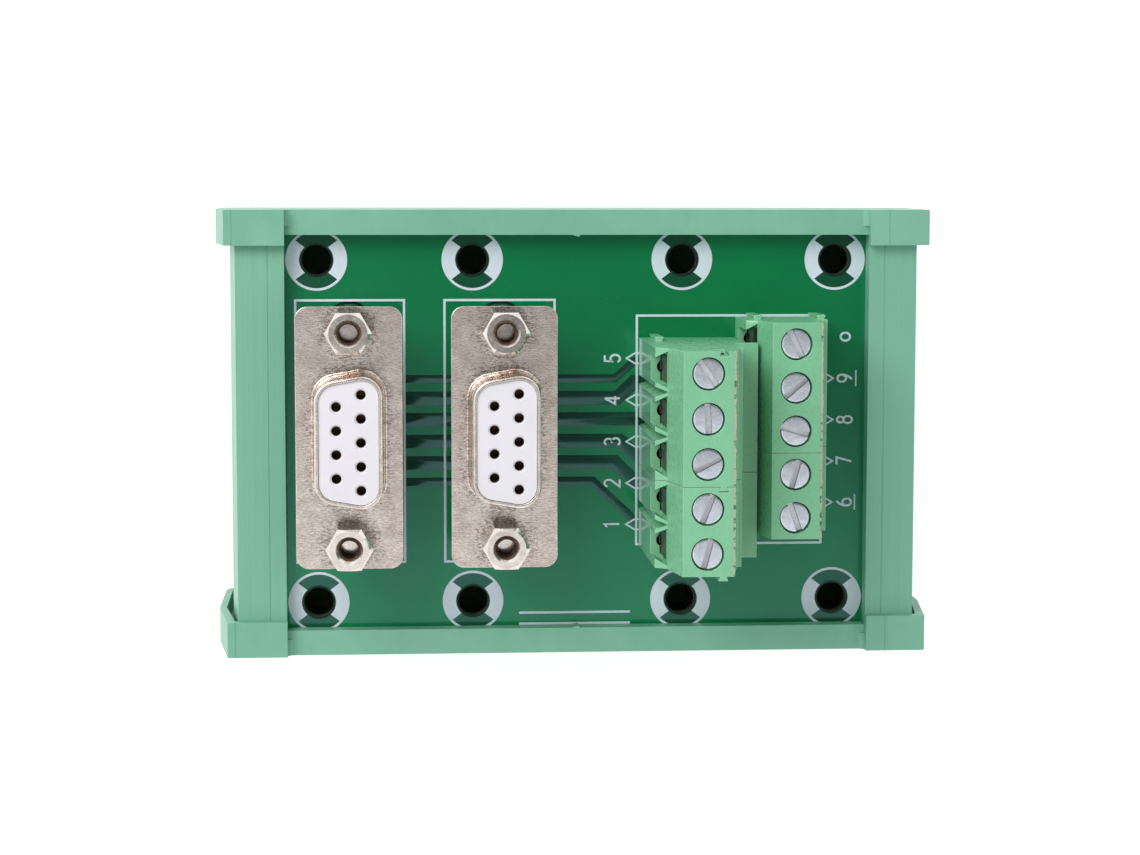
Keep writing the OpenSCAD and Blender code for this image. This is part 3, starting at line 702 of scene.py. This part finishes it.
@dataclass(frozen=True)
class Stroke:
    """A line of constant width through points on the board."""

    points: tuple[Point, ...]
    width: float = 0.24
    closed: bool = False

    def sides(self) -> list[Vector]:
        """Finds the way from the line's middle to its left side.

        Returns:
            Half the width across the line at each point, mitred at the bends.
        """
        path = [Vector(point) for point in self.points]
        last = len(path) - 1
        made = []
        for i, here in enumerate(path):
            ways = []
            if i > 0 or self.closed:
                ways.append((here - path[i - 1]).normalized())
            if i < last or self.closed:
                ways.append((path[(i + 1) % len(path)] - here).normalized())
            along = sum(ways, Vector((0, 0))).normalized()
            reach = self.width / 2 / max(0.5, along.dot(ways[0]))
            made.append(Vector((-along.y, along.x, 0)) * reach)
        return made

    def solid(self, height: float, slope: float = 0.0) -> bmesh.types.BMesh:
        """Returns the line as a flat closed ribbon with rounded ends.

        Args:
            height: Thickness of the ribbon over the board.
            slope: Width of the bevel on its upper edges.

        Returns:
            A closed mesh in millimetres.
        """
        part = bmesh.new()
        sides = self.sides()
        left = [part.verts.new(Vector((*point, 0)) + side)
                for point, side in zip(self.points, sides)]
        pairs = list(zip(left, left[1:])) + ([(left[-1], left[0])] if self.closed else [])
        edges = [part.edges.new(pair) for pair in pairs]
        grown = bmesh.ops.extrude_edge_only(part, edges=edges)["geom"]
        right = {v for v in grown if isinstance(v, bmesh.types.BMVert)}
        for vert, side in zip(left, sides):
            twin = next(e.other_vert(vert) for e in vert.link_edges
                        if e.other_vert(vert) in right)
            twin.co -= 2 * side
        if not self.closed:
            ends = [v for v in part.verts if len(v.link_edges) == 2]
            bmesh.ops.bevel(part, geom=ends, offset=self.width * 0.42, segments=3,
                            profile=0.5, affect="VERTICES", material=-1)
        return raised(part, height, slope)


def raised(part: bmesh.types.BMesh, height: float, slope: float = 0.0) -> bmesh.types.BMesh:
    """Thickens a flat mesh from just under the board's face to a height over it.

    Args:
        part: A flat mesh at height zero.
        height: Height of its upper face over the board.
        slope: Width of the bevel on its upper edges.

    Returns:
        The same mesh, closed.
    """
    sunk = 0.01
    made = bmesh.ops.extrude_face_region(part, geom=part.faces[:])["geom"]
    roof = [v for v in made if isinstance(v, bmesh.types.BMVert)]
    bmesh.ops.translate(part, vec=(0, 0, height + sunk), verts=roof)
    bmesh.ops.translate(part, vec=(0, 0, BOARD_TOP - sunk), verts=part.verts[:])
    bmesh.ops.recalc_face_normals(part, faces=part.faces[:])
    if slope:
        top = BOARD_TOP + height - 0.001
        rim = [e for e in part.edges if all(v.co.z > top for v in e.verts)
               and any(abs(f.normal.z) < 0.5 for f in e.link_faces)]
        bmesh.ops.bevel(part, geom=rim, offset=slope, offset_type="OFFSET", segments=2,
                        profile=0.5, affect="EDGES", clamp_overlap=True, material=-1)
    return part


def arc(cx: float, cy: float, rx: float, ry: float, start: float, end: float,
        steps: int = 12) -> list[Point]:
    """Returns points along an arc.

    Args:
        cx: Centre across.
        cy: Centre upward.
        rx: Radius across.
        ry: Radius upward.
        start: First angle in degrees.
        end: Last angle in degrees.
        steps: Number of chords.

    Returns:
        The points from the first angle to the last.
    """
    angles = [math.radians(start + (end - start) * i / steps) for i in range(steps + 1)]
    return [(cx + rx * math.cos(a), cy + ry * math.sin(a)) for a in angles]


@dataclass
class Softener:
    """Rounds the sharp edges of a solid and lets the rounded copy stand for it."""

    radius: float = 0.15
    angle: float = 35.0
    steps: int = 2
    shortest: float = 0.25

    def soften(self, node: str, finishes: Sequence[Finish], body: str = ROOT,
               rim: int = 0, paint: Optional[Callable[[bmesh.types.BMFace], int]] = None,
               ) -> None:
        """Makes a rounded copy of a node and hides the node.

        Args:
            node: Name of the solid.
            finishes: Surface finishes of the copy.
            body: The body that carries it.
            rim: Number of the finish on the rounded edges; a lighter finish there is a painted
                highlight along the edges.
            paint: Gives the number of a face's finish; the first one if left out.
        """
        shape = Shape()
        shape.bm.from_mesh(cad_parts[node].data)
        bmesh.ops.remove_doubles(shape.bm, verts=shape.bm.verts[:], dist=2e-6)
        bmesh.ops.transform(shape.bm, matrix=Matrix.Scale(1 / MM, 4), verts=shape.bm.verts[:])
        bmesh.ops.dissolve_limit(shape.bm, angle_limit=math.radians(1.5),
                                 verts=shape.bm.verts[:], edges=shape.bm.edges[:])
        for face in shape.bm.faces:
            face.material_index = paint(face) if paint else 0
        sharp = [e for e in shape.bm.edges
                 if e.is_manifold and e.calc_length() > self.shortest
                 and e.calc_face_angle(0.0) > math.radians(self.angle)]
        # The rounded edges take the rim finish; where that finish is lighter, it is a painted
        # highlight.
        for face in shape.bevel(sharp, self.radius, self.steps):
            face.material_index = rim
        made = shape.piece(f"{node}.soft", finishes, body)
        weigh = made.modifiers.new("even_shading", "WEIGHTED_NORMAL")
        weigh.keep_sharp = True
        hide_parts(node)


def dress(node: str, finish: Finish) -> None:
    """Gives a solid its finish as it is.

    Args:
        node: Name of the solid.
        finish: Its surface finish.
    """
    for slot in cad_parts[node].material_slots:
        slot.material = finish.material()
    LOG.info("dressed %s with %s", node, finish.name)


@dataclass
class Carrier:
    """The extruded carrier with its end covers, feet and latches."""

    profile_edge: float = 0.12
    cover_edge: float = 0.2
    foot_edge: float = 0.3

    def build(self) -> None:
        """Makes all pieces of the carrier."""
        # rim=1 gives the rounded edges of the profile and the covers a painted highlight.
        Softener(self.profile_edge).soften("carrier_profile", (PROFILE, PROFILE_HIGHLIGHT), rim=1)
        for end in ("back", "front"):
            Softener(self.cover_edge).soften(f"end_cover_{end}", (COVER, COVER_HIGHLIGHT), rim=1)
            Softener(self.foot_edge).soften(f"rail_foot_{end}", (FOOT,))
            Softener(self.foot_edge / 2).soften(f"foot_latch_{end}", (LATCH,), f"{end}_latch")


@dataclass
class Board:
    """The circuit board: lacquer, tracks, hole rings and printed marks."""

    hole_x: tuple[float, ...] = (-31.4, -12.7, 12.7, 31.4)
    hole_y: float = 20.75
    hole_r: float = 1.8
    ring_outer: float = 3.7
    ring_inner: float = 2.06
    ring_line: float = 0.3
    sector_gap: float = 0.46
    ground_height: float = 0.02
    pad_height: float = 0.03
    jack_pad: Point = (2.75, 3.1)
    print_height: float = 0.06
    track_height: float = 0.045
    line: float = 0.28
    diamond_line: float = 0.2
    foot_line: float = 0.18
    digit_line: float = 0.26
    digit_height: float = 1.86
    digit_width: float = 0.98
    left_label_x: float = 4.28
    right_label_x: float = 32.82
    socket_boxes: tuple[Point, ...] = ((-33.97, -20.93), (-16.06, -2.75))
    socket_box_y: float = 15.9
    terminal_box: Point = (7.25, 30.0)
    terminal_box_y: float = 13.97
    right_diamond_x: float = 30.13
    label_lines: Point = (-22.3, -23.65)
    label_span: Point = (-7.1, 6.55)
    digits: dict[str, list[list[Point]]] = field(default_factory=dict)

    def __post_init__(self) -> None:
        """Draws the digits in a cell one unit wide and 1.6 units high."""
        loop = arc(0.5, 0.46, 0.44, 0.46, 0, 360, 20)
        tail = arc(1.35, 0.5, 1.29, 1.25, 122, 180, 8)
        self.digits = {
            "1": [[(0.18, 1.3), (0.55, 1.6), (0.55, 0)]],
            "2": [arc(0.5, 1.14, 0.43, 0.46, 165, -35) + [(0.06, 0), (0.96, 0)]],
            "3": [arc(0.47, 1.2, 0.4, 0.4, 150, -85) + arc(0.47, 0.42, 0.46, 0.42, 85, -150)],
            "4": [[(0.72, 0), (0.72, 1.6)], [(0.72, 1.6), (0.04, 0.5), (1.0, 0.5)]],
            "5": [[(0.9, 1.6), (0.2, 1.6), (0.12, 0.86)] + arc(0.46, 0.5, 0.48, 0.5, 130, -150)],
            "6": [tail, loop],
            "7": [[(0.04, 1.6), (0.96, 1.6), (0.42, 0)]],
            "8": [loop, arc(0.5, 1.24, 0.36, 0.36, 0, 360, 18)],
            "9": [[(1 - x, 1.6 - y) for x, y in line] for line in (tail, loop)],
            "s": [arc(0.5, 0.8, 0.5, 0.5, 0, 360, 20)],
        }

    def build(self) -> None:
        """Makes all pieces of the board."""
        dress("circuit_board", MASK)
        self.rings()
        self.tracks()
        self.marks()

    def rings(self) -> None:
        """Prints the ring round each mounting hole and the pads under the sockets."""
        white, dark, pads = Shape(), Shape(), Shape()
        for x in self.hole_x:
            for y in (-self.hole_y, self.hole_y):
                dark.ring((x, y), self.ring_inner, self.ring_outer - 0.1,
                          self.ground_height)
                white.ring((x, y), self.ring_outer - self.ring_line, self.ring_outer,
                           self.print_height)
                for side in (-1, 1):
                    cuts = [((0.0, self.sector_gap), (-side * 0.6, 0.8)),
                            ((0.0, -self.sector_gap), (-side * 0.6, -0.8)),
                            ((0.0, 0.0), (-side, 0))]
                    white.ring((x, y), self.ring_inner, self.ring_outer,
                               self.print_height + 0.004, cuts)
                pads.ring((x, y), self.hole_r, self.ring_inner, self.pad_height)
        for x in SOCKET_X.values():
            for reach in (JACK_REACH, -JACK_REACH):
                pads.ring((x, SOCKET_Y + reach), *self.jack_pad, self.pad_height)
        white.piece("hole_rings", (INK,))
        dark.piece("hole_ring_grounds", (MASK_DARK,))
        pads.piece("hole_pads", (PAD,))

    def tracks(self) -> None:
        """Raises the lacquered copper tracks between the sockets and the terminals."""
        routes = [
            (1.0, [(-27, 6.36), (4.6, 6.36), (6.9, 8.4), (9, 8.4)]),
            (1.7, [(-27, 4.0), (4.9, 4.0), (6.9, 5.9), (9, 5.9)]),
            (1.65, [(-27, 1.43), (9, 1.43)]),
            (1.65, [(-27, -1.22), (5.2, -1.22), (8.5, -4.2)]),
            (1.7, [(-27, -3.85), (4.6, -3.85), (9, -8.2)]),
            (1.05, [(-27, -6.15), (1.9, -6.15), (8.5, -12.4)]),
        ]
        shape = Shape()
        shape.strokes([Stroke(tuple(points), width) for width, points in routes],
                      self.track_height, self.track_height * 0.7)
        shape.piece("copper_tracks", (TRACE,))

    def marks(self) -> None:
        """Prints outlines, diamonds, pole numbers and the bare lines of a label field."""
        lines: list[Stroke] = []
        boxes = [(*span, self.socket_box_y) for span in self.socket_boxes]
        for left, right, y in boxes + [(*self.terminal_box, self.terminal_box_y)]:
            box = ((left, -y), (left, y), (right, y), (right, -y))
            lines.append(Stroke(box, self.line, True))
        rows = {level: [FIRST_POLE_Y[level] - i * PITCH for i in range(len(POLES[level]))]
                for level in POLES}
        for x, ys in ((self.terminal_box[0], rows["upper"]),
                      (self.right_diamond_x, rows["lower"][1:])):
            for y in ys:
                lines.append(Stroke(((x - 1.25, y), (x, y + 0.75), (x + 1.25, y),
                                     (x, y - 0.75)), self.diamond_line, True))
        for y in self.label_lines:
            lines.append(Stroke(tuple((x, y) for x in self.label_span), self.line))
        for name, y in zip(POLES["upper"], rows["upper"]):
            lines += self.number(name, self.left_label_x, y)
        for name, y in zip(POLES["lower"], rows["lower"]):
            lines += self.number(name, self.right_label_x, y)
            if name in "69":
                foot = self.right_label_x + self.digit_height / 2 + 0.42
                lines.append(Stroke(((foot, y - 1.0), (foot, y + 1.0)), self.foot_line))
        shape = Shape()
        shape.strokes(lines, self.print_height)
        shape.piece("printed_marks", (INK,))

    def number(self, name: str, x: float, y: float) -> list[Stroke]:
        """Returns the strokes of a digit that is turned to read from the right.

        Args:
            name: The digit, or the pole that is marked with a ring.
            x: Middle of the digit across the board.
            y: Middle of the digit along the board.

        Returns:
            Strokes on the board.
        """
        tall = self.digit_height / 1.6
        made = []
        for line in self.digits[name]:
            points = [(x - (v - 0.8) * tall, y + (u - 0.5) * self.digit_width)
                      for u, v in line]
            made.append(Stroke(tuple(points), self.digit_line))
        return made


@dataclass
class Sockets:
    """The two nine-way sockets with their shells, inserts and jack screws."""

    shell_edge: float = 0.09
    shell_shortest: float = 0.1
    jack_height: float = 5.3
    bore: float = 1.25
    thread_pitch: float = 0.6
    thread_start: float = 0.55
    thread_length: float = 3.6
    thread_depth: float = 0.16

    def build(self) -> None:
        """Makes both sockets."""
        soften = Softener(self.shell_edge, shortest=self.shell_shortest).soften
        for side, x in SOCKET_X.items():
            soften(f"{side}_front_shell", (TIN[side],))
            dress(f"{side}_rear_shell", TIN[side])
            dress(f"{side}_socket_insert", INSERT)
            dress(f"{side}_rear_insert", INSERT)
            dress(f"{side}_contacts", CONTACT)
            dress(f"{side}_standoffs", NICKEL)
            dress(f"{side}_jack_screws", NICKEL)
            self.threads(side, x)

    def threads(self, side: str, x: float) -> None:
        """Cuts the look of a thread into both jack screws of a socket.

        Args:
            side: Name of the socket.
            x: Centre of the socket across the board.
        """
        shape = Shape()
        top = BOARD_TOP + FLANGE_Z + self.jack_height
        half = self.thread_pitch * 0.42
        root = self.bore + 0.02
        crest = self.bore - self.thread_depth
        for reach in (-JACK_REACH, JACK_REACH):
            for turn in range(int(self.thread_length / self.thread_pitch)):
                z = top - self.thread_start - turn * self.thread_pitch
                shape.turned([(root, z + half), (crest, z + 0.06), (crest, z - 0.06),
                              (root, z - half), (root, z + half)],
                             (x, SOCKET_Y + reach, 0))
        # The thread rings take the bore finish, darkened as painted shade inside the bore.
        shape.piece(f"{side}_jack_threads", (BORE,))


@dataclass
class Terminals:
    """Both terminal levels with their screws, cages and contact strips."""

    housing_edge: float = 0.07
    screw_edge: float = 0.09
    slot_depth: float = 0.8
    slot_reach: float = 1.2
    front_edge: float = 2.99
    flash_width: float = 0.24
    flash_overlap: float = 0.12
    flash_step: float = 0.12
    flash_height: float = 0.14
    flash_sunk: float = 0.11

    def build(self) -> None:
        """Makes all pieces of the terminals."""
        for level in POLES:
            for block in "ab":
                node = f"{level}_housing_{block}"
                # rim=1 gives the rounded edges of the housings a painted highlight.
                Softener(self.housing_edge).soften(node, (TERMINAL, TERMINAL_HIGHLIGHT), rim=1)
                self.flash(node, TERMINAL_X[level] + self.front_edge)
                # The strips carry a painted green reflection and painted pocket shade.
                dress(f"{level}_strips_{block}", STRIP)
        for name in POLES["upper"] + POLES["lower"]:
            self.screw(f"clamp_screw_{name}", f"screw_{name}")
            dress(f"clamp_cage_{name}", CAGE)

    def screw(self, node: str, body: str) -> None:
        """Rounds a screw and paints its slot: a highlight on the floor and shade on the walls.

        Args:
            node: Name of the screw's solid.
            body: The body that carries it.
        """
        corners = [Vector(c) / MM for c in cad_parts[node].bound_box]
        middle = sum(corners, Vector()) / len(corners)
        top = max(c.z for c in corners)

        def paint(face: bmesh.types.BMFace) -> int:
            """Returns 1 for the slot's floor, painted with a highlight, 2 for its walls, painted
            with shade, and 0 elsewhere.
            """
            centre = face.calc_center_median()
            out = (centre - middle).to_2d().length
            deep = top - self.slot_depth - 0.1 < centre.z < top - 0.05
            inside = deep and out < self.slot_reach
            if inside and face.normal.z > 0.9:
                return 1
            return 2 if inside and abs(face.normal.z) < 0.3 else 0

        # The slot's floor gets a painted highlight and its walls painted shade.
        Softener(self.screw_edge).soften(node, (ZINC, ZINC_SLOT_HIGHLIGHT, ZINC_SLOT_SHADE), body,
                                         paint=paint)

    def flash(self, node: str, edge_x: float) -> None:
        """Lays the ragged parting line along the front edge of a block's top, its pale colour a
        painted highlight.

        Args:
            node: Name of the block's solid.
            edge_x: Place of the edge across the board.
        """
        corners = [Vector(c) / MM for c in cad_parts[node].bound_box]
        top = max(c.z for c in corners)
        ends = [v.co.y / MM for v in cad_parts[node].data.vertices
                if v.co.z / MM > top - 0.01 and abs(v.co.x / MM - edge_x) < 0.2]
        low, high = min(ends), max(ends)
        part = bmesh.new()
        steps = int((high - low) / self.flash_step)
        bmesh.ops.create_grid(part, x_segments=1, y_segments=steps, size=0.5)
        for vert in part.verts:
            y = low + 0.05 + (high - low - 0.1) * (vert.co.y + 0.5)
            ragged = noise.noise((0, y * 3.0, edge_x)) * 0.12 + noise.noise((5, y * 9, 0)) * 0.06
            width = self.flash_width + ragged if vert.co.x > 0 else 0.0
            vert.co = (edge_x + width - self.flash_overlap, y, 0)
        made = bmesh.ops.extrude_face_region(part, geom=part.faces[:])["geom"]
        roof = [v for v in made if isinstance(v, bmesh.types.BMVert)]
        bmesh.ops.translate(part, vec=(0, 0, self.flash_height), verts=roof)
        bmesh.ops.translate(part, vec=(0, 0, top - self.flash_sunk), verts=part.verts[:])
        bmesh.ops.recalc_face_normals(part, faces=part.faces[:])
        shape = Shape()
        shape.take(part)
        shape.piece(f"{node}.flash", (TERMINAL_FLASH_HIGHLIGHT,))


class Light(Enum):
    """Soft lamps round the object: place, size across, power and aim."""

    KEY = ((-0.26, 0.27, 0.38), 0.34, 1.6)
    FILL = ((0.55, -0.20, 0.55), 0.50, 0.25)
    LOW = ((0.05, -0.75, 0.35), 0.50, 0.1)


@dataclass
class Studio:
    """Floor, light and camera."""

    eye: tuple[float, float, float] = (-0.0238688, 0.0300803, 0.3476869)
    lens: float = 81.958
    tilt: tuple[float, float, float] = (0.09453467, 0.07299963, 0.00577852)
    aim: tuple[float, float, float] = (0, 0, 0.035)
    ambient: float = 0.6
    glossy: float = 1.15
    patch_way: tuple[float, float, float] = (0.153, 0.306, 0.94)
    patch_angles: Point = (28, 21.5)
    patch_depth: float = 0.88
    floor_half: float = 3.0
    floor_tone: float = 0.82
    floor_glow: float = 0.62

    def build(self) -> None:
        """Makes the whole studio."""
        bpy.context.scene.view_settings.view_transform = "Standard"
        self.camera()
        self.lamps()
        self.world()
        self.floor()

    def camera(self) -> None:
        """Places the camera where the photograph was taken from."""
        turn = (Matrix.Rotation(self.tilt[2], 3, "Z") @ Matrix.Rotation(self.tilt[1], 3, "Y")
                @ Matrix.Rotation(self.tilt[0], 3, "X"))
        data = bpy.data.cameras.new("view")
        data.sensor_width = 36.0
        data.lens = self.lens
        data.clip_start = 0.01
        data.clip_end = 20
        made = bpy.data.objects.new("view", data)
        made.matrix_world = Matrix.Translation(self.eye) @ turn.transposed().to_4x4()
        bpy.context.scene.collection.objects.link(made)
        bpy.context.scene.camera = made

    def lamps(self) -> None:
        """Hangs the soft lamps and turns them to the object."""
        for lamp in Light:
            place, size, power = lamp.value
            data = bpy.data.lights.new(lamp.name.lower(), "AREA")
            data.shape = "DISK"
            data.size = size
            data.energy = power
            made = bpy.data.objects.new(lamp.name.lower(), data)
            made.location = place
            aim = Vector(self.aim) - Vector(place)
            made.rotation_euler = aim.to_track_quat("-Z", "Y").to_euler()
            bpy.context.scene.collection.objects.link(made)

    @staticmethod
    def seen(graph: Graph) -> Wire:
        """Tells rays that see a surface from those that light it.

        Args:
            graph: The node tree that asks.

        Returns:
            1 for rays of sight, reflection and transmission, else 0.
        """
        rays = [graph.node("ShaderNodeLightPath", output=name)
                for name in ("Is Camera Ray", "Is Glossy Ray", "Is Transmission Ray")]
        return (rays[0] + rays[1] + rays[2]).least(1.0)

    def world(self) -> None:
        """Sets a white surround with a darker patch overhead for reflections."""
        world = bpy.data.worlds.new("surround")
        world.use_nodes = True
        bpy.context.scene.world = world
        graph = Graph(world.node_tree)
        way = graph.node("ShaderNodeTexCoord", output="Generated")
        toward = graph.node("ShaderNodeVectorMath", {"operation": "DOT_PRODUCT"}, {
            0: way, 1: tuple(Vector(self.patch_way).normalized())}, output="Value")
        patch = graph.ramp(toward, *(math.cos(math.radians(a)) for a in self.patch_angles))
        sight = graph.node("ShaderNodeLightPath", output="Is Camera Ray")
        overhead = (1 - patch * self.patch_depth) * (1 - sight) * self.glossy + sight
        level = self.seen(graph)
        strength = overhead * level + (1 - level) * self.ambient
        back = graph.node("ShaderNodeBackground", inputs={
            "Color": (1, 1, 1, 1), "Strength": strength})
        graph.node("ShaderNodeOutputWorld", inputs={"Surface": back})

    def floor(self) -> None:
        """Lays the pale floor that keeps the object's shadow."""
        part = bmesh.new()
        bmesh.ops.create_grid(part, x_segments=1, y_segments=1, size=self.floor_half)
        mesh = bpy.data.meshes.new("floor")
        part.to_mesh(mesh)
        part.free()
        made = bpy.data.objects.new("floor", mesh)
        bpy.context.scene.collection.objects.link(made)
        paint = bpy.data.materials.new("floor_white")
        paint.use_nodes = True
        graph = Graph(paint.node_tree)
        cast = graph.node("ShaderNodeBsdfDiffuse", inputs={
            "Color": (*[self.floor_tone] * 3, 1)})
        glow = graph.node("ShaderNodeEmission", inputs={
            "Color": (1, 1, 1, 1), "Strength": self.seen(graph) * self.floor_glow})
        both = graph.node("ShaderNodeAddShader", inputs={0: cast, 1: glow})
        graph.node("ShaderNodeOutputMaterial", inputs={"Surface": both})
        mesh.materials.append(paint)


def main() -> None:
    """Builds every sub-assembly and the studio."""
    logging.basicConfig(level=logging.INFO, format="%(message)s")
    for part in (Carrier(), Board(), Sockets(), Terminals(), Studio()):
        LOG.info("building %s", type(part).__name__)
        part.build()


if __name__ == "__main__":
    main()
